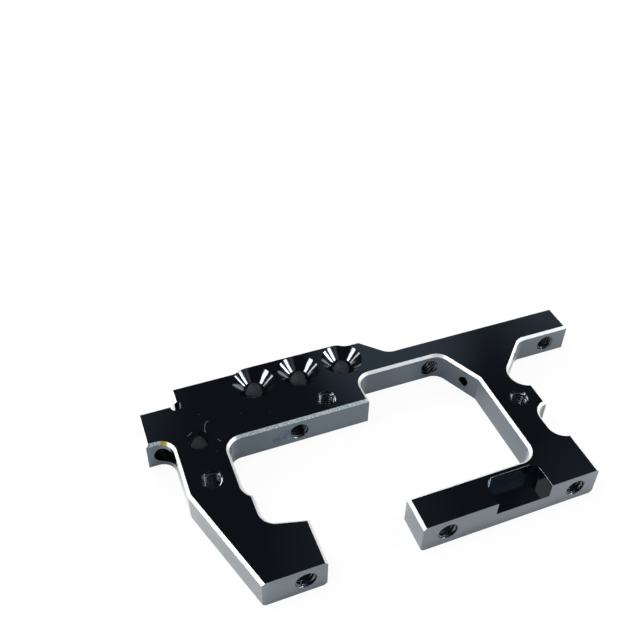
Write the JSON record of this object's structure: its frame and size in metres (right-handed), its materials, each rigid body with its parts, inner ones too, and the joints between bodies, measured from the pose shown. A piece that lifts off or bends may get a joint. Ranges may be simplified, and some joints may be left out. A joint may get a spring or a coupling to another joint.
{
  "type": "cnc machined aluminium mounting plate",
  "caption": "Flat C-shaped aluminium mounting plate, black anodised with bare broken edges, countersunk, tapped and notched for screws on its faces and edges.",
  "frame": {"origin": "middle of the plate's box, on its plain face, which lies down", "axes": "+X from the tab's end to the bar's end, +Y from the front edge to the raised pad, +Z out of the countersunk face"},
  "size_m": [0.097, 0.0496, 0.007],
  "materials": {
    "black_anodised_aluminium": "glossy black anodising, with the broken edges cut back to bright metal"
  },
  "bodies": {
    "root": {"mount_plate": "black_anodised_aluminium"}
  },
  "joints": []
}
